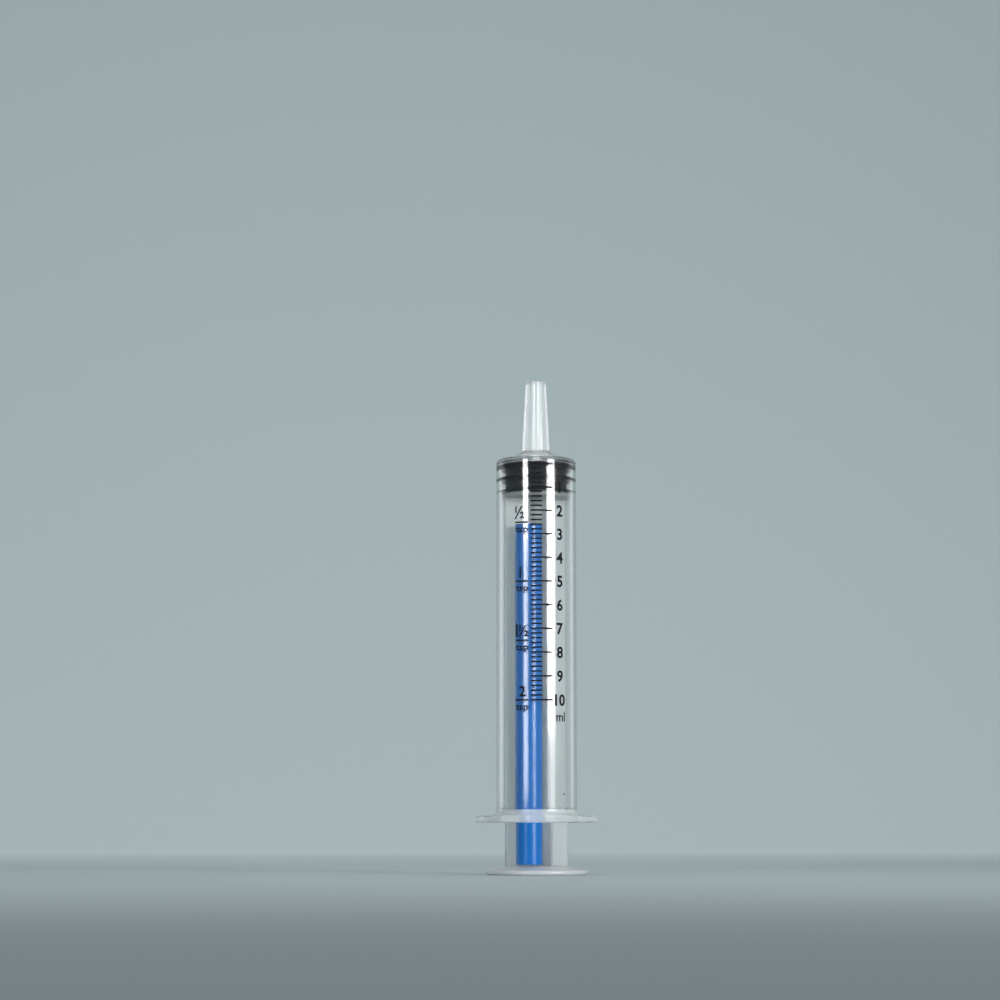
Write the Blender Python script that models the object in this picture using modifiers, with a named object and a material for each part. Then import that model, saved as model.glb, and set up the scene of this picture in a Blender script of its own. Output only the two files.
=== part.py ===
"""An oral syringe of 10 ml, with its filler tube stored along the plunger rod.

Four pieces, each one named object: the barrel with its nozzle and finger flange, the rubber stopper,
the plunger rod with its thumb plate, and the filler tube.

Metres, +Z up. The syringe stands on its thumb plate with the nozzle up, and the Z axis is its axis. The
finger flange is long in X, and the side of the barrel that carries the scale faces -Y. Everything is
drawn with the stopper pushed home.
"""

import math

import bmesh
import bpy

MM = 0.001

# ---- Driving dimensions ----

# Overall
FINGER_GAP = 9.3 * MM  # between the thumb plate and the flange with the stopper home

# Barrel tube
BORE_DIAMETER = 15.7 * MM
BORE_LENGTH = 78.9 * MM  # from the open mouth to the end wall
BARREL_WALL = 1.0 * MM
MOUTH_CHAMFER = 0.4 * MM
MOUTH_CHAMFER_HEIGHT = 0.9 * MM
BEAD_DEPTH = 0.13 * MM  # the ring inside the mouth that stops the stopper
BEAD_HEIGHT = 1.0 * MM
BEAD_ABOVE_MOUTH = 2.8 * MM

# Barrel end and nozzle
END_WALL = 1.1 * MM
SHOULDER_ROUND = 1.0 * MM
SHOULDER_RISE = 0.7 * MM
NECK_CONE_HEIGHT = 1.0 * MM
NECK_CONE_SPREAD = 1.8 * MM
NECK_FILLET = 0.35 * MM
NOZZLE_LENGTH = 17.5 * MM  # above the shoulder's edge
NOZZLE_BORE = 2.0 * MM
NOZZLE_LEAD = 0.3 * MM  # how much slimmer than the filler tube's bore the nozzle's tip is
NOZZLE_GRIP = 1.3 * MM  # how much fatter than that bore the nozzle's base is
NOZZLE_TIP_ROUND = 0.4 * MM

# Finger flange
FLANGE_WING = 4.5 * MM  # beyond the tube, to each side
FLANGE_LEDGE = 1.55 * MM  # beyond the tube, to the front and to the back
FLANGE_THICKNESS = 1.7 * MM
FLANGE_TIP_THICKNESS = 1.5 * MM  # the top slopes down to the ends of the wings
FLANGE_ROUND = 0.5 * MM
FLANGE_FILLET = 1.0 * MM

# Stopper
STOPPER_LENGTH = 6.2 * MM
FRONT_RING = 1.3 * MM
FRONT_GROOVE = 1.55 * MM
REAR_RING = 0.9 * MM
REAR_LIP = 0.45 * MM
GROOVE_DEPTH = 1.1 * MM
RING_ROUND = 0.2 * MM
STOPPER_LIP_HEIGHT = 1.2 * MM  # the rubber that holds the rod's head in

# Plunger rod
THUMB_PLATE_DIAMETER = 22.2 * MM
THUMB_PLATE_THICKNESS = 1.9 * MM
THUMB_RIM_THICKNESS = 1.1 * MM
THUMB_SLOPE_WIDTH = 3.7 * MM
THUMB_DISH_DIAMETER = 14.0 * MM
THUMB_DISH_DEPTH = 0.35 * MM
RIB_THICKNESS = 0.85 * MM
ROD_TURN = math.radians(20.0)  # how far the cross of ribs is turned from the flange
DISC_THICKNESS = 0.9 * MM
HEAD_NECK_DIAMETER = 5.0 * MM
HEAD_DIAMETER = 7.6 * MM
HEAD_HEIGHT = 2.2 * MM
HEAD_ROUND = 0.7 * MM

# Filler tube
TUBE_TRAVEL = 6.0 * MM  # how far it slides between the thumb plate and the disc
TUBE_WALL = 0.45 * MM
TUBE_END_ROUND = 0.12 * MM

# Clearances
AXIAL_GAP = 0.3 * MM  # between faces that rest on each other
SEAL_GAP = 0.05 * MM  # between the stopper's rings and the bore
HEAD_GAP = 0.15 * MM  # between the rod's head and the rubber round it
RIB_GAP = 0.4 * MM  # between the ribs and the bore
DISC_GAP = 0.25 * MM  # between the disc and the bore
TUBE_GAP = 0.05 * MM  # between the filler tube and the ribs and the bead

STEPS = 64  # round the syringe
TUBE_STEPS = 32

# ---- Sizes and places that follow from them ----

BORE_RADIUS = BORE_DIAMETER / 2
BARREL_RADIUS = BORE_RADIUS + BARREL_WALL
BEAD_RADIUS = BORE_RADIUS - BEAD_DEPTH
RIB_RADIUS = BORE_RADIUS - RIB_GAP
DISC_RADIUS = BORE_RADIUS - DISC_GAP

# The filler tube is the fattest that lies between two ribs and still passes the bead.
TUBE_RADIUS = (BEAD_RADIUS - TUBE_GAP - math.sqrt(2) * (RIB_THICKNESS / 2 + TUBE_GAP)) / (1 + math.sqrt(2))
TUBE_FROM_RIB_PLANE = RIB_THICKNESS / 2 + TUBE_GAP + TUBE_RADIUS
TUBE_BORE_RADIUS = TUBE_RADIUS - TUBE_WALL

NOZZLE_TIP_RADIUS = TUBE_BORE_RADIUS - NOZZLE_LEAD / 2
NOZZLE_BASE_RADIUS = TUBE_BORE_RADIUS + NOZZLE_GRIP / 2

MOUTH_Z = THUMB_PLATE_THICKNESS + FINGER_GAP
FLANGE_TOP_Z = MOUTH_Z + FLANGE_THICKNESS
END_WALL_Z = MOUTH_Z + BORE_LENGTH
SHOULDER_Z = END_WALL_Z + END_WALL

STOPPER_Z = END_WALL_Z - AXIAL_GAP - STOPPER_LENGTH
DISC_Z = STOPPER_Z - AXIAL_GAP - DISC_THICKNESS
HEAD_Z = STOPPER_Z + STOPPER_LIP_HEIGHT + HEAD_GAP

TUBE_Z = THUMB_PLATE_THICKNESS + AXIAL_GAP
TUBE_LENGTH = DISC_Z - AXIAL_GAP - TUBE_TRAVEL - TUBE_Z


# ---- Helpers ----


def collection(name):
    made = bpy.data.collections.new(name)
    bpy.context.scene.collection.children.link(made)
    return made


def material(name, colour, roughness, transmission=0.0):
    made = bpy.data.materials.new(name)
    made.use_nodes = True
    shader = made.node_tree.nodes["Principled BSDF"]
    shader.inputs["Base Color"].default_value = (*colour, 1.0)
    shader.inputs["Roughness"].default_value = roughness
    shader.inputs["Metallic"].default_value = 0.0
    shader.inputs["Transmission Weight"].default_value = transmission
    made.diffuse_color = (*colour, 1.0)
    return made


def arc(radius, z, bend, start, end, steps=4):
    """Points of an arc about (radius, z) in the profile's plane, with its angles in degrees from +X."""
    angles = [math.radians(start + (end - start) * i / steps) for i in range(steps + 1)]
    return [(radius + bend * math.cos(a), z + bend * math.sin(a)) for a in angles]


def turned(name, profile, where, steps=STEPS, closed=False):
    """A solid of revolution about Z. The profile is (radius, z), down its outer side."""
    mesh = bpy.data.meshes.new(name)
    edges = [(i, i + 1) for i in range(len(profile) - 1)]
    if closed:
        edges.append((len(profile) - 1, 0))
    mesh.from_pydata([(radius, 0.0, z) for radius, z in profile], edges, [])
    obj = bpy.data.objects.new(name, mesh)
    where.objects.link(obj)
    screw = obj.modifiers.new("Turn", "SCREW")
    screw.steps = steps
    screw.render_steps = steps
    screw.use_merge_vertices = True
    screw.merge_threshold = 0.000001
    screw.use_smooth_shade = True
    return obj


def block(name, size, centre, where):
    """A box with its scale already in the mesh."""
    mesh = bpy.data.meshes.new(name)
    shape = bmesh.new()
    bmesh.ops.create_cube(shape, size=1.0)
    bmesh.ops.scale(shape, vec=size, verts=shape.verts)
    shape.to_mesh(mesh)
    shape.free()
    obj = bpy.data.objects.new(name, mesh)
    obj.location = centre
    where.objects.link(obj)
    return obj


def combine(obj, operation, other):
    cut = obj.modifiers.new(f"{operation.title()} {other.name}", "BOOLEAN")
    cut.operation = operation
    cut.solver = "EXACT"
    cut.object = other


def guide(obj):
    """Marks a shape that only cuts or joins another."""
    obj.hide_render = True
    obj.display_type = "WIRE"
    return obj


# ---- Pieces ----


def flange_fillet():
    """The rounding between the tube and the flange, which has to stay on the narrow front ledge."""
    return min(FLANGE_FILLET, FLANGE_LEDGE - FLANGE_ROUND - 0.05 * MM)


def barrel_outside():
    """From the nozzle's tip down over the shoulder to the fillet at the flange, ending inside the flange."""
    tip_z = SHOULDER_Z + NOZZLE_LENGTH
    cone_top_z = SHOULDER_Z + SHOULDER_RISE + NECK_CONE_HEIGHT
    cone_top = NOZZLE_BASE_RADIUS + NECK_FILLET
    round_r = BARREL_RADIUS - SHOULDER_ROUND
    fillet = flange_fillet()
    return [
        (0.0, tip_z),
        *arc(NOZZLE_TIP_RADIUS - NOZZLE_TIP_ROUND, tip_z - NOZZLE_TIP_ROUND, NOZZLE_TIP_ROUND, 90, 0),
        (NOZZLE_BASE_RADIUS, cone_top_z + NECK_FILLET),
        (cone_top, cone_top_z),
        (cone_top + NECK_CONE_SPREAD, SHOULDER_Z + SHOULDER_RISE),
        *arc(round_r, SHOULDER_Z - SHOULDER_ROUND, SHOULDER_ROUND, 85, 0),
        *arc(BARREL_RADIUS + fillet, FLANGE_TOP_Z + fillet, fillet, 180, 270),
        (BARREL_RADIUS + fillet, MOUTH_Z + FLANGE_THICKNESS / 2),
        (0.0, MOUTH_Z + FLANGE_THICKNESS / 2),
    ]


def barrel_inside():
    """The bore and the nozzle's hole, past both ends of the barrel."""
    beyond = 1.0 * MM
    slope = MOUTH_CHAMFER / MOUTH_CHAMFER_HEIGHT
    bead_z = MOUTH_Z + BEAD_ABOVE_MOUTH
    return [
        (0.0, SHOULDER_Z + NOZZLE_LENGTH + beyond),
        (NOZZLE_BORE / 2, SHOULDER_Z + NOZZLE_LENGTH + beyond),
        (NOZZLE_BORE / 2, END_WALL_Z),
        (BORE_RADIUS, END_WALL_Z),
        (BORE_RADIUS, bead_z + BEAD_HEIGHT / 2),
        (BEAD_RADIUS, bead_z),
        (BORE_RADIUS, bead_z - BEAD_HEIGHT / 2),
        (BORE_RADIUS, MOUTH_Z + MOUTH_CHAMFER_HEIGHT),
        (BORE_RADIUS + MOUTH_CHAMFER + slope * beyond, MOUTH_Z - beyond),
        (0.0, MOUTH_Z - beyond),
    ]


def make_flange(where, guides):
    """A disc that thins towards its rim, with two flat sides, front and back, and every edge rounded."""
    radius = BARREL_RADIUS + FLANGE_WING
    profile = [
        (0.0, FLANGE_TOP_Z),
        (BARREL_RADIUS + flange_fillet(), FLANGE_TOP_Z),
        (radius, MOUTH_Z + FLANGE_TIP_THICKNESS),
        (radius, MOUTH_Z),
        (0.0, MOUTH_Z),
    ]
    flange = turned("flange", profile, where)
    middle = (0.0, 0.0, MOUTH_Z + FLANGE_THICKNESS / 2)
    size = (4 * radius, 2 * (BARREL_RADIUS + FLANGE_LEDGE), 4 * FLANGE_THICKNESS)
    combine(flange, "INTERSECT", guide(block("flange_flats", size, middle, guides)))
    edges = flange.modifiers.new("Round edges", "BEVEL")
    edges.width = FLANGE_ROUND
    edges.segments = 2
    edges.limit_method = "ANGLE"
    edges.angle_limit = math.radians(30.0)
    return flange


def make_barrel(where, guides):
    barrel = turned("barrel", barrel_outside(), where)
    combine(barrel, "UNION", guide(make_flange(guides, guides)))
    combine(barrel, "DIFFERENCE", guide(turned("bore", barrel_inside(), guides)))
    barrel.data.materials.append(material("natural_polypropylene", (0.72, 0.80, 0.82), 0.28, 0.7))
    return barrel


def ring(radius, top, height):
    """A sealing ring's outer side, top to bottom, with both edges rounded."""
    inner = radius - RING_ROUND
    return [
        *arc(inner, top - RING_ROUND, RING_ROUND, 90, 0, 2),
        *arc(inner, top - height + RING_ROUND, RING_ROUND, 0, -90, 2),
    ]


def stopper_profile():
    """Down the outside over two rings and the rear lip, then up into the socket for the rod's head."""
    radius = BORE_RADIUS - SEAL_GAP
    groove = radius - GROOVE_DEPTH
    top = STOPPER_Z + STOPPER_LENGTH
    rear_ring_z = top - FRONT_RING - FRONT_GROOVE
    neck = HEAD_NECK_DIAMETER / 2 + HEAD_GAP
    socket = HEAD_DIAMETER / 2 + HEAD_GAP
    socket_top = HEAD_Z + HEAD_HEIGHT + HEAD_GAP
    return [
        (0.0, top),
        *ring(radius, top, FRONT_RING),
        (groove, top - FRONT_RING),
        (groove, rear_ring_z),
        *ring(radius, rear_ring_z, REAR_RING),
        (groove, rear_ring_z - REAR_RING),
        (groove, STOPPER_Z + REAR_LIP),
        (radius, STOPPER_Z + REAR_LIP),
        (radius, STOPPER_Z),
        (neck, STOPPER_Z),
        (neck, HEAD_Z - HEAD_GAP),
        (socket, HEAD_Z - HEAD_GAP),
        (socket, socket_top),
        (0.0, socket_top),
    ]


def make_stopper(where):
    stopper = turned("stopper", stopper_profile(), where)
    stopper.data.materials.append(material("black_rubber", (0.012, 0.010, 0.012), 0.25))
    return stopper


def thumb_plate_profile():
    """Flat over the ribs, sloping to a round rim, with a shallow dish for the thumb underneath."""
    radius = THUMB_PLATE_DIAMETER / 2
    rim = THUMB_RIM_THICKNESS / 2
    dish = THUMB_DISH_DIAMETER / 2
    return [
        (0.0, THUMB_PLATE_THICKNESS),
        (radius - THUMB_SLOPE_WIDTH, THUMB_PLATE_THICKNESS),
        *arc(radius - rim, rim, rim, 80, -90, 6),
        (dish, 0.0),
        (dish - THUMB_DISH_DEPTH, THUMB_DISH_DEPTH),
        (0.0, THUMB_DISH_DEPTH),
    ]


def rod_end_profile():
    """The disc behind the stopper, the neck, and the head that snaps into the stopper."""
    disc_top = DISC_Z + DISC_THICKNESS
    head = HEAD_DIAMETER / 2
    return [
        (0.0, HEAD_Z + HEAD_HEIGHT),
        *arc(head - HEAD_ROUND, HEAD_Z + HEAD_HEIGHT - HEAD_ROUND, HEAD_ROUND, 90, 0, 3),
        (head, HEAD_Z),
        (HEAD_NECK_DIAMETER / 2, HEAD_Z),
        (HEAD_NECK_DIAMETER / 2, disc_top),
        (DISC_RADIUS, disc_top),
        (DISC_RADIUS, DISC_Z),
        (0.0, DISC_Z),
    ]


def make_plunger_rod(where, guides):
    """The thumb plate is the base object, and the two crossed ribs and the rod's end are joined to it."""
    rod = turned("plunger_rod", thumb_plate_profile(), where)
    foot = (THUMB_DISH_DEPTH + THUMB_RIM_THICKNESS) / 2
    top = DISC_Z + DISC_THICKNESS / 2
    size = (2 * RIB_RADIUS, RIB_THICKNESS, top - foot)
    for index in range(2):
        rib = block(f"rib_pair_{index + 1}", size, (0.0, 0.0, (foot + top) / 2), guides)
        rib.rotation_euler.z = ROD_TURN + index * math.pi / 2
        combine(rod, "UNION", guide(rib))
    combine(rod, "UNION", guide(turned("rod_end", rod_end_profile(), guides)))
    rod.data.materials.append(material("milky_polypropylene", (0.76, 0.84, 0.86), 0.3, 0.6))
    return rod


def make_filler_tube(where):
    """A plain tube on its own axis, standing in the corner between the front rib and the left rib."""
    outer = [
        (TUBE_RADIUS - TUBE_END_ROUND, TUBE_LENGTH),
        (TUBE_RADIUS, TUBE_LENGTH - TUBE_END_ROUND),
        (TUBE_RADIUS, TUBE_END_ROUND),
        (TUBE_RADIUS - TUBE_END_ROUND, 0.0),
    ]
    inner = [
        (TUBE_BORE_RADIUS + TUBE_END_ROUND, 0.0),
        (TUBE_BORE_RADIUS, TUBE_END_ROUND),
        (TUBE_BORE_RADIUS, TUBE_LENGTH - TUBE_END_ROUND),
        (TUBE_BORE_RADIUS + TUBE_END_ROUND, TUBE_LENGTH),
    ]
    tube = turned("filler_tube", outer + inner, where, steps=TUBE_STEPS, closed=True)
    corner = ROD_TURN + math.radians(225.0)
    distance = math.sqrt(2) * TUBE_FROM_RIB_PLANE
    tube.location = (distance * math.cos(corner), distance * math.sin(corner), TUBE_Z)
    tube.rotation_euler.z = corner
    tube.data.materials.append(material("blue_polyethylene", (0.03, 0.18, 0.60), 0.3, 0.35))
    return tube


def main():
    for obj in list(bpy.data.objects):
        bpy.data.objects.remove(obj, do_unlink=True)
    parts = collection("oral_syringe")
    guides = collection("cutters")
    make_barrel(parts, guides)
    make_stopper(parts)
    make_plunger_rod(parts, guides)
    make_filler_tube(parts)


main()
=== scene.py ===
"""The finished look of a 10 ml oral syringe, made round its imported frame.

Metres, in the frame's own axes: the syringe stands on its thumb plate with the nozzle up, the finger
flange is long in X, and the printed side looks to -Y.
"""

import math

import bpy
from mathutils import Matrix, Vector


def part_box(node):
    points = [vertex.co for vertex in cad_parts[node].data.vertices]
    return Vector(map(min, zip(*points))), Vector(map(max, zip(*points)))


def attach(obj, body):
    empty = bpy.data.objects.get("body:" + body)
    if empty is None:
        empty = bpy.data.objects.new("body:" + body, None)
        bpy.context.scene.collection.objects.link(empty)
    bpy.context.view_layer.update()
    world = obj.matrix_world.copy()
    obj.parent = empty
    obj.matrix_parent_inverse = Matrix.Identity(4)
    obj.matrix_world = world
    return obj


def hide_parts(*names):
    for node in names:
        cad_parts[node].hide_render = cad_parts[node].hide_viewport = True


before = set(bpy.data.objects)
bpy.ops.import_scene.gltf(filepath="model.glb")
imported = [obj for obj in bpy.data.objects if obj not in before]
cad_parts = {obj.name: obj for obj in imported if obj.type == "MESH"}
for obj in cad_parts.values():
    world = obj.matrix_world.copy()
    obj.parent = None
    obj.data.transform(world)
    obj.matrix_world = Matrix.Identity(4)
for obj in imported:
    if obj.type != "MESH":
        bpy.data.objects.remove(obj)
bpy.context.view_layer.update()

# ---- Camera ----
# A long lens stands level with the finger flange and looks a little up. The syringe is turned a few
# degrees to the right of it, and stands a little right of the middle of the view.
mm = 0.001
syringe_turn = math.radians(4.6)
camera_side = -8.0 * mm
camera_distance = 545.6 * mm
camera_height = 8.5 * mm
camera_pitch = math.radians(7.7)
round_the_syringe = Matrix.Rotation(-syringe_turn, 4, "Z")

bpy.ops.object.camera_add(
    location=round_the_syringe @ Vector((camera_side, -camera_distance, camera_height)),
    rotation=(math.radians(90.0) + camera_pitch, 0.0, -syringe_turn),
)
camera = bpy.context.object
camera.data.lens = 89.3
camera.data.sensor_width = 36.0
camera.data.clip_start = 0.01
camera.data.clip_end = 20.0
bpy.context.scene.camera = camera
bpy.context.scene.view_settings.view_transform = "Standard"

# ---- Floor and backdrop ----
# A pale round floor that curves up into a wall all round without an edge, as a studio cove does.
floor_radius = 1.1
cove_round = 1.2
cove_height = 1.3


def arc(radius, z, bend, start, end, steps=8):
    """Points of an arc about (radius, z) in a profile's plane, its angles in degrees from +X."""
    angles = [math.radians(start + (end - start) * i / steps) for i in range(steps + 1)]
    return [(radius + bend * math.cos(a), z + bend * math.sin(a)) for a in angles]


def turned(name, profile, steps=192):
    """Draws a profile of (radius, z) points one by one and spins it about Z into a closed skin."""
    bpy.ops.object.select_all(action="DESELECT")
    bpy.ops.mesh.primitive_plane_add(size=mm, location=(0.0, 0.0, 0.0))
    piece = bpy.context.object
    piece.name = name
    bpy.ops.object.mode_set(mode="EDIT")
    bpy.ops.mesh.select_mode(type="VERT")
    bpy.ops.mesh.select_all(action="SELECT")
    bpy.ops.mesh.merge(type="CENTER")
    here = Vector((0.0, 0.0, 0.0))
    for count, (radius, z) in enumerate(profile):
        step = Vector((radius, 0.0, z)) - here
        here = here + step
        if count == 0:
            bpy.ops.transform.translate(value=step)
        else:
            bpy.ops.mesh.extrude_vertices_move(TRANSFORM_OT_translate={"value": step})
    bpy.ops.mesh.select_all(action="SELECT")
    bpy.ops.mesh.spin(steps=steps, angle=2 * math.pi, center=(0.0, 0.0, 0.0), axis=(0.0, 0.0, 1.0))
    bpy.ops.mesh.select_all(action="SELECT")
    bpy.ops.mesh.remove_doubles(threshold=0.001 * mm)
    bpy.ops.mesh.normals_make_consistent(inside=False)
    bpy.ops.object.mode_set(mode="OBJECT")
    return piece


cove = turned(
    "studio_cove",
    [
        (0.0, 0.0),
        *arc(floor_radius, cove_round, cove_round, -90, 0, 24),
        (floor_radius + cove_round, cove_height),
    ],
    steps=128,
)
bpy.ops.object.shade_smooth()
paint = bpy.data.materials.new("pale_matt_paint")
paint.use_nodes = True
paint_shader = paint.node_tree.nodes["Principled BSDF"]
paint_shader.inputs["Base Color"].default_value = (0.50, 0.585, 0.60, 1.0)
paint_shader.inputs["Roughness"].default_value = 0.9
cove.data.materials.append(paint)


# ---- Studio lights ----
# Two upright softboxes with grids give the tall white streaks down the barrel, with a dimmer one under
# each. Panels at both sides light its rims, and broad softboxes overhead light the cove.
def softbox(name, azimuth, distance, height, width, tall, watts, spread=50.0, aim=(0.0, 0.0, 0.06)):
    """A softbox that faces the syringe. Azimuth 0 is the camera's side, and grows to the right."""
    angle = math.radians(azimuth)
    place = round_the_syringe @ Vector((distance * math.sin(angle), -distance * math.cos(angle), height))
    bpy.ops.object.light_add(type="AREA", location=place)
    light = bpy.context.object
    light.name = name
    light.data.shape = "RECTANGLE"
    light.data.size = width
    light.data.size_y = tall
    light.data.energy = watts
    light.data.spread = math.radians(spread)
    light.rotation_euler = (Vector(aim) - place).to_track_quat("-Z", "Y").to_euler()
    light.visible_camera = False


softbox("right_softbox", 43.0, 0.6, 0.15, 0.25, 0.19, 0.21)
softbox("right_fill_softbox", 43.0, 0.6, 0.03, 0.25, 0.05, 0.012)
softbox("left_softbox", -31.5, 0.6, 0.19, 0.15, 0.09, 0.06)
softbox("left_fill_softbox", -31.5, 0.6, 0.085, 0.15, 0.12, 0.02)
softbox("right_rim_panel", 122.0, 0.7, 0.15, 0.45, 0.27, 0.022)
softbox("left_rim_panel", -122.0, 0.7, 0.15, 0.45, 0.27, 0.022)
softbox("overhead_softbox", 180.0, 0.2, 1.5, 1.2, 0.8, 8.0, spread=180.0, aim=(0.0, 1.2, 0.0))
softbox("backdrop_softbox", 180.0, 0.5, 1.3, 1.2, 0.8, 8.5, spread=150.0, aim=(0.0, 2.2, 0.3))
world = bpy.data.worlds.new("studio")
world.use_nodes = True
world.node_tree.nodes["Background"].inputs["Color"].default_value = (0.86, 0.93, 0.96, 1.0)
world.node_tree.nodes["Background"].inputs["Strength"].default_value = 0.22
bpy.context.scene.world = world

# ---- Barrel ----
# One injection moulding in clear polypropylene, faintly milky: slip-taper nozzle, shoulder, tube and
# finger flange. It is turned from its profile, joined to the flange and bored through. Its thin tube is
# clearer than its thick ends, which have their own material.
barrel_low, barrel_high = (Vector(corner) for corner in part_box("barrel"))
stopper_low, stopper_high = (Vector(corner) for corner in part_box("stopper"))
mouth_z = barrel_low.z
tip_z = barrel_high.z
bore_radius = 7.85 * mm
barrel_radius = 8.85 * mm
end_wall_z = stopper_high.z + 0.3 * mm
shoulder_z = end_wall_z + 1.1 * mm
neck_z = shoulder_z + 1.7 * mm
nozzle_base = 3.099 * mm
nozzle_tip = 2.299 * mm
nozzle_hole = 1.0 * mm
nozzle_edge = 0.4 * mm
neck_fillet = 0.4 * mm
shoulder_fillet = 0.5 * mm
shoulder_rounding = 1.0 * mm
flange_fillet = 1.0 * mm
flange_thickness = 1.7 * mm
flange_tip = 1.5 * mm
flange_corner = 1.4 * mm
flange_edge = 0.5 * mm


def combine(piece, operation, other):
    """Joins another solid to a piece or cuts it away, for good."""
    change = piece.modifiers.new(operation.title(), "BOOLEAN")
    change.operation = operation
    change.solver = "EXACT"
    change.object = other
    bpy.ops.object.select_all(action="DESELECT")
    piece.select_set(True)
    bpy.context.view_layer.objects.active = piece
    bpy.ops.object.modifier_apply(modifier=change.name)
    bpy.data.objects.remove(other, do_unlink=True)


def smooth(piece, degrees=32.0):
    """Shades a piece smooth but for its real edges."""
    bpy.ops.object.select_all(action="DESELECT")
    piece.select_set(True)
    bpy.context.view_layer.objects.active = piece
    bpy.ops.object.shade_smooth_by_angle(angle=math.radians(degrees))
    evened = piece.modifiers.new("Even shading", "WEIGHTED_NORMAL")
    evened.keep_sharp = True
    bpy.ops.object.modifier_apply(modifier=evened.name)


def select_edges(piece, wanted):
    """Selects the edges whose two ends and middle the test accepts, and nothing else."""
    mesh = piece.data
    for face in mesh.polygons:
        face.select = False
    for vertex in mesh.vertices:
        vertex.select = False
    for edge in mesh.edges:
        a, b = (mesh.vertices[i] for i in edge.vertices)
        edge.select = wanted(a.co, b.co)
        if edge.select:
            a.select = b.select = True


fillet_radius = barrel_radius + flange_fillet
flange_top = mouth_z + flange_thickness
flange_end = barrel_high.x
barrel = turned(
    "barrel_moulding",
    [
        (0.0, tip_z),
        *arc(nozzle_tip - nozzle_edge, tip_z - nozzle_edge, nozzle_edge, 90, 0),
        *arc(nozzle_base + neck_fillet, neck_z + 0.3 * mm, neck_fillet, 180, 240, 5),
        *arc(nozzle_base + 2.4 * mm, shoulder_z + 1.2 * mm, shoulder_fillet, 240, 264, 4),
        *arc(barrel_radius - shoulder_rounding, shoulder_z - shoulder_rounding, shoulder_rounding, 84, 0, 10),
        *arc(fillet_radius, flange_top + flange_fillet, flange_fillet, 180, 270),
        (fillet_radius, mouth_z + flange_thickness / 2),
        (0.0, mouth_z + flange_thickness / 2),
    ],
)

flange = turned(
    "flange",
    [
        (0.0, flange_top),
        (fillet_radius, flange_top),
        (flange_end, mouth_z + flange_tip),
        (flange_end, mouth_z),
        (0.0, mouth_z),
    ],
)
bpy.ops.object.mode_set(mode="EDIT")
for side in (-1, 1):
    bpy.ops.mesh.select_all(action="SELECT")
    bpy.ops.mesh.bisect(
        plane_co=(0.0, side * barrel_high.y, 0.0),
        plane_no=(0.0, side, 0.0),
        use_fill=True,
        clear_outer=True,
    )
bpy.ops.object.mode_set(mode="OBJECT")
flat_edge = barrel_high.y - 0.001 * mm
select_edges(flange, lambda a, b: abs(a.y) > flat_edge and abs(b.y) > flat_edge and abs(a.z - b.z) > mm)
bpy.ops.object.mode_set(mode="EDIT")
bpy.ops.mesh.select_mode(type="EDGE")
bpy.ops.mesh.bevel(offset=flange_corner, segments=10, affect="EDGES")
bpy.ops.object.mode_set(mode="OBJECT")
rounded = flange.modifiers.new("Rounded", "BEVEL")
rounded.width = flange_edge
rounded.segments = 6
rounded.limit_method = "ANGLE"
rounded.angle_limit = math.radians(40.0)
bpy.ops.object.modifier_apply(modifier=rounded.name)
combine(barrel, "UNION", flange)

bead_z = mouth_z + 2.8 * mm
bead_height = 0.13 * mm
bead_half_length = 0.5 * mm
bead_steps = 5
bead = [
    (
        bore_radius - bead_height / 2 * (1 + math.cos(math.pi * i / bead_steps)),
        bead_z - bead_half_length * i / bead_steps,
    )
    for i in range(-bead_steps, bead_steps + 1)
]
hole_fillet = 0.4 * mm
bore_fillet = 0.35 * mm
mouth_chamfer_length = 0.9 * mm
mouth_chamfer_width = 0.4 * mm
bore = turned(
    "bore",
    [
        (0.0, tip_z + mm),
        (nozzle_hole, tip_z + mm),
        (nozzle_hole, end_wall_z + hole_fillet),
        *arc(nozzle_hole + hole_fillet, end_wall_z + hole_fillet, hole_fillet, 180, 270, 5),
        *arc(bore_radius - bore_fillet, end_wall_z - bore_fillet, bore_fillet, 90, 0, 6),
        *bead,
        (bore_radius, mouth_z + mouth_chamfer_length),
        (bore_radius + mouth_chamfer_width, mouth_z),
        (bore_radius + 2 * mouth_chamfer_width, mouth_z - mouth_chamfer_length),
        (0.0, mouth_z - mouth_chamfer_length),
    ],
)
combine(barrel, "DIFFERENCE", bore)
smooth(barrel)


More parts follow.
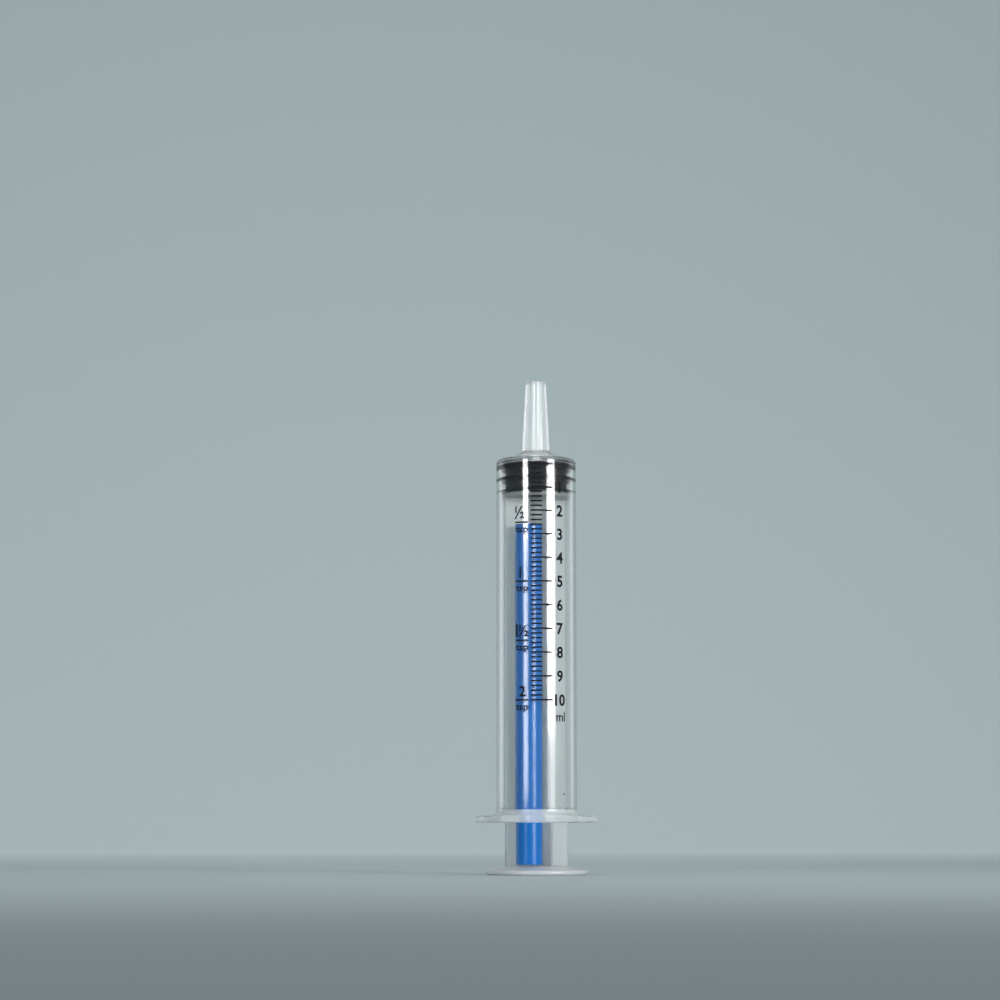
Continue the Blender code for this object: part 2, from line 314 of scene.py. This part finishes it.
def moulded_plastic(name, colour, clearness, haze, gloss):
    """Natural polypropylene: a glossy skin over a body that lets light through and blurs it a little.

    Faint flow lines run along the moulding, and its skin is very slightly uneven.
    """
    material = bpy.data.materials.new(name)
    material.use_nodes = True
    nodes, links = material.node_tree.nodes, material.node_tree.links
    shader = nodes["Principled BSDF"]
    shader.inputs["IOR"].default_value = 1.49
    shader.inputs["Transmission Weight"].default_value = clearness
    shader.inputs["Coat Weight"].default_value = gloss
    shader.inputs["Coat Roughness"].default_value = 0.12
    shader.inputs["Coat IOR"].default_value = 1.5
    where = nodes.new("ShaderNodeTexCoord")
    along = nodes.new("ShaderNodeMapping")
    along.inputs["Scale"].default_value = (700.0, 700.0, 60.0)
    flow = nodes.new("ShaderNodeTexNoise")
    flow.inputs["Scale"].default_value = 1.0
    flow.inputs["Detail"].default_value = 3.0
    roughness = nodes.new("ShaderNodeMapRange")
    roughness.inputs["To Min"].default_value = haze * 0.7
    roughness.inputs["To Max"].default_value = haze * 1.3
    tint = nodes.new("ShaderNodeMix")
    tint.data_type = "RGBA"
    tint.inputs["A"].default_value = (*[c * 0.93 for c in colour], 1.0)
    tint.inputs["B"].default_value = (*colour, 1.0)
    skin = nodes.new("ShaderNodeTexNoise")
    skin.inputs["Scale"].default_value = 900.0
    bump = nodes.new("ShaderNodeBump")
    bump.inputs["Strength"].default_value = 0.12
    bump.inputs["Distance"].default_value = 0.02 * mm
    links.new(where.outputs["Object"], along.inputs["Vector"])
    links.new(along.outputs["Vector"], flow.inputs["Vector"])
    links.new(flow.outputs["Fac"], roughness.inputs["Value"])
    links.new(roughness.outputs["Result"], shader.inputs["Roughness"])
    links.new(flow.outputs["Fac"], tint.inputs["Factor"])
    links.new(tint.outputs["Result"], shader.inputs["Base Color"])
    links.new(where.outputs["Object"], skin.inputs["Vector"])
    links.new(skin.outputs["Fac"], bump.inputs["Height"])
    links.new(bump.outputs["Normal"], shader.inputs["Normal"])
    return material


barrel.data.materials.append(moulded_plastic("barrel_plastic", (0.97, 0.985, 0.985), 0.996, 0.06, 0.3))
barrel.data.materials.append(moulded_plastic("barrel_plastic_thick", (0.93, 0.965, 0.975), 0.7, 0.22, 0.5))
thick_above = shoulder_z - 0.3 * mm
thick_below = flange_top + 1.2 * mm
for face in barrel.data.polygons:
    if face.center.z > thick_above or face.center.z < thick_below:
        face.material_index = 1
barrel.visible_shadow = False
barrel.visible_diffuse = False
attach(barrel, "barrel")
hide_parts("barrel")

# ---- Printed scale ----
# Black ink, screen-printed on the barrel and read from the front: a mark every 0.2 ml, longer at each
# millilitre with its number, and teaspoons on the left. It is laid out flat and wrapped on the barrel.
ink_height = 0.02 * mm
ink_clearance = 0.006 * mm
line_width = 0.35 * mm
millilitre = 5.165 * mm
zero_z = 89.2 * mm
marks_per_millilitre = 5
millilitres = 10
millilitres_per_teaspoon = 5
# Angles round the barrel from its front, in degrees, growing to the right.
mark_start, short_mark_end, long_mark_end = -13.2, 3.0, 18.2
number_angle, unit_angle = 30.0, 30.9
teaspoon_start, teaspoon_end, teaspoon_unit_angle = -36.2, -17.5, -26.2
dot_start, dot_end = 35.0, 37.3
print_limit = 38.0
dot_z = 17.35 * mm
number_height = 2.55 * mm
unit_height = 2.0 * mm
teaspoon_unit_height = 1.75 * mm
heavy_weight, medium_weight, light_weight = 0.075 * mm, 0.05 * mm, 0.03 * mm


def along_barrel(degrees):
    """The distance round the barrel's outside from its front to this angle, to the right."""
    return barrel_radius * math.radians(degrees)


def printed_bar(start, end, z):
    """A flat bar between two angles round the barrel."""
    bpy.ops.mesh.primitive_plane_add(size=1.0, rotation=(math.radians(90.0), 0.0, 0.0))
    bar = bpy.context.object
    left, right = along_barrel(start), along_barrel(end)
    bar.scale = (right - left, line_width, 1.0)
    bar.location = ((left + right) / 2, 0.0, z)
    bpy.ops.object.transform_apply(location=True, rotation=True, scale=True)
    return bar


def printed_text(words, angle, z, height, squeeze=1.0, weight=0.0):
    """Flat lettering of this height, centred at an angle round the barrel and at a height."""
    bpy.ops.object.text_add(rotation=(math.radians(90.0), 0.0, 0.0))
    text = bpy.context.object
    text.data.body = words
    text.data.size = height
    text.data.offset = weight
    text.data.resolution_u = 4
    bpy.ops.object.convert(target="MESH")
    text = bpy.context.object
    bpy.ops.object.transform_apply(location=True, rotation=True, scale=True)
    corners = [Vector(corner) for corner in text.bound_box]
    low = Vector(min(corner[i] for corner in corners) for i in range(3))
    high = Vector(max(corner[i] for corner in corners) for i in range(3))
    grow = height / (high.z - low.z)
    text.scale = (grow * squeeze, 1.0, grow)
    text.location.x = along_barrel(angle) - grow * squeeze * (low.x + high.x) / 2
    text.location.z = z - grow * (low.z + high.z) / 2
    bpy.ops.object.transform_apply(location=True, rotation=True, scale=True)
    return text


marks = []
for step in range(millilitres * marks_per_millilitre + 1):
    mark_end = short_mark_end if step % marks_per_millilitre else long_mark_end
    marks.append(printed_bar(mark_start, mark_end, zero_z - step * millilitre / marks_per_millilitre))
for number in range(1, millilitres + 1):
    z = zero_z - number * millilitre
    marks.append(printed_text(str(number), number_angle, z, number_height, 0.95, heavy_weight))
unit_z = zero_z - (millilitres + 0.7) * millilitre
marks.append(printed_text("ml", unit_angle, unit_z, unit_height, 0.9, light_weight))
marks.append(printed_bar(dot_start, dot_end, dot_z))
teaspoon_labels = (
    (0.5, (("½", -30.0, 2.8 * mm),)),
    (1.0, (("1", -28.4, 2.35 * mm),)),
    (1.5, (("1", -34.1, 2.75 * mm), ("½", -24.0, 2.6 * mm))),
    (2.0, (("2", -25.6, 2.3 * mm),)),
)
for teaspoons, label in teaspoon_labels:
    z = zero_z - teaspoons * millilitres_per_teaspoon * millilitre
    marks.append(printed_bar(teaspoon_start, teaspoon_end, z))
    tsp_z = z - 1.8 * mm
    marks.append(printed_text("tsp", teaspoon_unit_angle, tsp_z, teaspoon_unit_height, 1.12, light_weight))
    for words, angle, height in label:
        label_z = z + 0.75 * mm + height / 2
        marks.append(printed_text(words, angle, label_z, height, 0.9, medium_weight))

bpy.ops.object.select_all(action="DESELECT")
for mark in marks:
    mark.select_set(True)
bpy.context.view_layer.objects.active = marks[0]
bpy.ops.object.join()
scale = bpy.context.object
scale.name = "printed_scale"
bpy.ops.object.mode_set(mode="EDIT")
edge_of_print = along_barrel(print_limit)
slices = 44
for i in range(1, slices):
    bpy.ops.mesh.select_all(action="SELECT")
    bpy.ops.mesh.bisect(
        plane_co=(edge_of_print * (2 * i / slices - 1), 0.0, 0.0), plane_no=(1.0, 0.0, 0.0)
    )
bpy.ops.mesh.select_all(action="SELECT")
bpy.ops.mesh.remove_doubles(threshold=0.001 * mm)
bpy.ops.object.mode_set(mode="OBJECT")
film = scale.modifiers.new("Film", "SOLIDIFY")
film.thickness = ink_height
film.offset = 0.0
bpy.ops.object.modifier_apply(modifier=film.name)
for vertex in scale.data.vertices:
    angle = vertex.co.x / barrel_radius
    out = barrel_radius + ink_clearance + ink_height / 2 - vertex.co.y
    vertex.co.x = out * math.sin(angle)
    vertex.co.y = -out * math.cos(angle)
bpy.ops.object.mode_set(mode="EDIT")
bpy.ops.mesh.select_all(action="SELECT")
bpy.ops.mesh.normals_make_consistent(inside=False)
bpy.ops.object.mode_set(mode="OBJECT")

ink = bpy.data.materials.new("scale_ink")
ink.use_nodes = True
ink_shader = ink.node_tree.nodes["Principled BSDF"]
ink_shader.inputs["Roughness"].default_value = 0.6
ink_shader.inputs["Specular IOR Level"].default_value = 0.2
ink_grain = ink.node_tree.nodes.new("ShaderNodeTexNoise")
ink_grain.inputs["Scale"].default_value = 3000.0
ink_where = ink.node_tree.nodes.new("ShaderNodeTexCoord")
ink_tone = ink.node_tree.nodes.new("ShaderNodeMix")
ink_tone.data_type = "RGBA"
ink_tone.inputs["A"].default_value = (0.002, 0.002, 0.003, 1.0)
ink_tone.inputs["B"].default_value = (0.012, 0.012, 0.018, 1.0)
ink.node_tree.links.new(ink_where.outputs["Object"], ink_grain.inputs["Vector"])
ink.node_tree.links.new(ink_grain.outputs["Fac"], ink_tone.inputs["Factor"])
ink.node_tree.links.new(ink_tone.outputs["Result"], ink_shader.inputs["Base Color"])
scale.data.materials.clear()
scale.data.materials.append(ink)
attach(scale, "barrel")

# ---- Stopper ----
# Dull black rubber, moulded in one piece: two sealing rings and a thin rear lip, with a socket
# underneath that snaps over the rod's head.
ring_radius = bore_radius + 0.004 * mm  # pressed against the bore, so the wall shows it black
groove_radius = ring_radius - 1.1 * mm
groove_fillet = 0.25 * mm
stopper_top = stopper_high.z
stopper_foot = stopper_low.z
front_ring_foot = stopper_top - 1.3 * mm
front_ring_edge = 0.14 * mm
rear_ring_z = stopper_top - 2.85 * mm
rear_ring_foot = rear_ring_z - 0.9 * mm
rear_ring_edge = 0.12 * mm
lip_top = stopper_foot + 0.45 * mm
lip_edge = 0.15 * mm
socket_z = stopper_foot + 1.2 * mm
socket_end = socket_z + 2.5 * mm
socket_radius = 3.95 * mm
socket_rounding = 0.6 * mm
socket_mouth = 2.65 * mm
socket_mouth_edge = 0.3 * mm
front_ring = ring_radius - front_ring_edge
rear_ring = ring_radius - rear_ring_edge
lip_ring = ring_radius - lip_edge
groove = groove_radius + groove_fillet
stopper = turned(
    "stopper_seal",
    [
        (0.0, stopper_top),
        *arc(front_ring, stopper_top - front_ring_edge, front_ring_edge, 90, 0, 5),
        *arc(front_ring, front_ring_foot + front_ring_edge, front_ring_edge, 0, -90, 5),
        *arc(groove, front_ring_foot - groove_fillet, groove_fillet, 90, 180, 5),
        *arc(groove, rear_ring_z + groove_fillet, groove_fillet, 180, 270, 5),
        *arc(rear_ring, rear_ring_z - rear_ring_edge, rear_ring_edge, 90, 0, 5),
        *arc(rear_ring, rear_ring_foot + rear_ring_edge, rear_ring_edge, 0, -90, 5),
        *arc(groove, rear_ring_foot - groove_fillet, groove_fillet, 90, 180, 5),
        *arc(groove, lip_top + groove_fillet, groove_fillet, 180, 270, 5),
        *arc(lip_ring, lip_top - lip_edge, lip_edge, 90, 0, 4),
        *arc(lip_ring, stopper_foot + lip_edge, lip_edge, 0, -90, 4),
        *arc(
            socket_mouth + socket_mouth_edge,
            stopper_foot + socket_mouth_edge,
            socket_mouth_edge,
            270,
            180,
            4,
        ),
        (socket_mouth, socket_z),
        (socket_radius, socket_z),
        *arc(socket_radius - socket_rounding, socket_end - socket_rounding, socket_rounding, 0, 90, 5),
        (0.0, socket_end),
    ],
)
smooth(stopper)

rubber = bpy.data.materials.new("stopper_rubber")
rubber.use_nodes = True
rubber_nodes, rubber_links = rubber.node_tree.nodes, rubber.node_tree.links
rubber_shader = rubber_nodes["Principled BSDF"]
rubber_shader.inputs["Specular IOR Level"].default_value = 0.15
rubber_shader.inputs["Coat Weight"].default_value = 0.03
rubber_shader.inputs["Coat Roughness"].default_value = 0.35
rubber_where = rubber_nodes.new("ShaderNodeTexCoord")
rubber_grain = rubber_nodes.new("ShaderNodeTexNoise")
rubber_grain.inputs["Scale"].default_value = 2500.0
rubber_grain.inputs["Detail"].default_value = 4.0
rubber_tone = rubber_nodes.new("ShaderNodeMix")
rubber_tone.data_type = "RGBA"
rubber_tone.inputs["A"].default_value = (0.003, 0.0025, 0.003, 1.0)
rubber_tone.inputs["B"].default_value = (0.008, 0.007, 0.008, 1.0)
rubber_rough = rubber_nodes.new("ShaderNodeMapRange")
rubber_rough.inputs["To Min"].default_value = 0.5
rubber_rough.inputs["To Max"].default_value = 0.65
rubber_bump = rubber_nodes.new("ShaderNodeBump")
rubber_bump.inputs["Strength"].default_value = 0.22
rubber_bump.inputs["Distance"].default_value = 0.02 * mm
rubber_links.new(rubber_where.outputs["Object"], rubber_grain.inputs["Vector"])
rubber_links.new(rubber_grain.outputs["Fac"], rubber_tone.inputs["Factor"])
rubber_links.new(rubber_tone.outputs["Result"], rubber_shader.inputs["Base Color"])
rubber_links.new(rubber_grain.outputs["Fac"], rubber_rough.inputs["Value"])
rubber_links.new(rubber_rough.outputs["Result"], rubber_shader.inputs["Roughness"])
rubber_links.new(rubber_grain.outputs["Fac"], rubber_bump.inputs["Height"])
rubber_links.new(rubber_bump.outputs["Normal"], rubber_shader.inputs["Normal"])
stopper.data.materials.append(rubber)
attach(stopper, "stopper")
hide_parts("stopper")

# ---- Plunger rod ----
# One moulding in milkier polypropylene: thumb plate, a cross of four ribs, the disc behind the stopper
# and the head that snaps into it. The ribs are turned from the flange as they happen to sit.
rod_high = Vector(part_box("plunger_rod")[1])
rod_turn = math.radians(20.0)
thumb_radius = rod_high.x
thumb_crown = 1.9 * mm
thumb_crown_rounding = 1.0 * mm
thumb_rim_rounding = 0.55 * mm
dish_radius = 7.0 * mm
dish_floor_radius = 6.65 * mm
dish_depth = 0.35 * mm
rib_radius = 7.45 * mm
rib_thickness = 0.85 * mm
rib_edge = 0.25 * mm
disc_radius = 7.6 * mm
disc_edge = 0.2 * mm
disc_top = stopper_foot - 0.3 * mm
disc_foot = disc_top - 0.9 * mm
neck_radius = 2.5 * mm
rod_fillet = 0.12 * mm
head_radius = 3.8 * mm
head_rounding = 0.7 * mm
head_edge = 0.12 * mm
head_z = socket_z + 0.15 * mm
crown_radius = thumb_radius - 3.9 * mm
rod = turned(
    "rod_moulding",
    [
        (0.0, thumb_crown),
        *arc(crown_radius, thumb_crown - thumb_crown_rounding, thumb_crown_rounding, 90, 75, 3),
        *arc(thumb_radius - thumb_rim_rounding, thumb_rim_rounding, thumb_rim_rounding, 75, -90, 14),
        (dish_radius, 0.0),
        (dish_floor_radius, dish_depth),
        (0.0, dish_depth),
    ],
)
rib_foot = 0.72 * mm
rib_top = disc_top - 0.45 * mm
for quarter in range(2):
    bpy.ops.object.select_all(action="DESELECT")
    bpy.ops.mesh.primitive_cube_add(
        size=1.0,
        location=(0.0, 0.0, (rib_foot + rib_top) / 2),
        rotation=(0.0, 0.0, rod_turn + quarter * math.pi / 2),
        scale=(2 * rib_radius, rib_thickness, rib_top - rib_foot),
    )
    rib = bpy.context.object
    bpy.ops.object.transform_apply(location=True, rotation=True, scale=True)
    select_edges(rib, lambda a, b: abs(a.z - b.z) > mm)
    bpy.ops.object.mode_set(mode="EDIT")
    bpy.ops.mesh.select_mode(type="EDGE")
    bpy.ops.mesh.bevel(offset=rib_edge, segments=5, affect="EDGES")
    bpy.ops.object.mode_set(mode="OBJECT")
    combine(rod, "UNION", rib)
rod_end = turned(
    "rod_end",
    [
        (0.0, rod_high.z),
        *arc(head_radius - head_rounding, rod_high.z - head_rounding, head_rounding, 90, 0, 6),
        *arc(head_radius - head_edge, head_z + head_edge, head_edge, 0, -90, 3),
        (neck_radius, head_z),
        *arc(neck_radius + rod_fillet, disc_top + rod_fillet, rod_fillet, 180, 270, 3),
        *arc(disc_radius - disc_edge, disc_top - disc_edge, disc_edge, 90, 0, 4),
        *arc(disc_radius - disc_edge, disc_foot + disc_edge, disc_edge, 0, -90, 4),
        (0.0, disc_foot),
    ],
)
combine(rod, "UNION", rod_end)
smooth(rod)
rod.data.materials.append(moulded_plastic("rod_plastic", (0.95, 0.975, 0.98), 0.86, 0.42, 0.0))
rod.data.materials.append(moulded_plastic("rod_plastic_thick", (0.93, 0.965, 0.975), 0.35, 0.35, 0.6))
thumb_plate_below = thumb_crown + 0.1 * mm
for face in rod.data.polygons:
    if face.center.z < thumb_plate_below:
        face.material_index = 1
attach(rod, "plunger")
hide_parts("plunger_rod")

# ---- Filler tube ----
# A plain length of blue polyethylene tube, cut square, stored in the corner between two ribs. In use
# it is pushed onto the nozzle and reaches down into the bottle.
tube_low, tube_high = (Vector(corner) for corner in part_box("filler_tube"))
tube_radius = 2.899 * mm
tube_wall = 0.45 * mm
tube_bore = tube_radius - tube_wall
tube_end = 0.1 * mm
tube_length = tube_high.z - tube_low.z
tube = turned(
    "filler_tube_blue",
    [
        *arc(tube_radius - tube_end, tube_length - tube_end, tube_end, 90, 0, 4),
        *arc(tube_radius - tube_end, tube_end, tube_end, 0, -90, 4),
        *arc(tube_bore + tube_end, tube_end, tube_end, 270, 180, 4),
        *arc(tube_bore + tube_end, tube_length - tube_end, tube_end, 180, 90, 4),
        (tube_radius - tube_end, tube_length),
    ],
    steps=96,
)
tube.location = ((tube_low.x + tube_high.x) / 2, (tube_low.y + tube_high.y) / 2, tube_low.z)
bpy.ops.object.transform_apply(location=True, rotation=True, scale=True)
smooth(tube)
tube.data.materials.append(moulded_plastic("tube_plastic", (0.004, 0.21, 0.72), 0.2, 0.25, 0.4))
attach(tube, "filler_tube")
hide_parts("filler_tube")
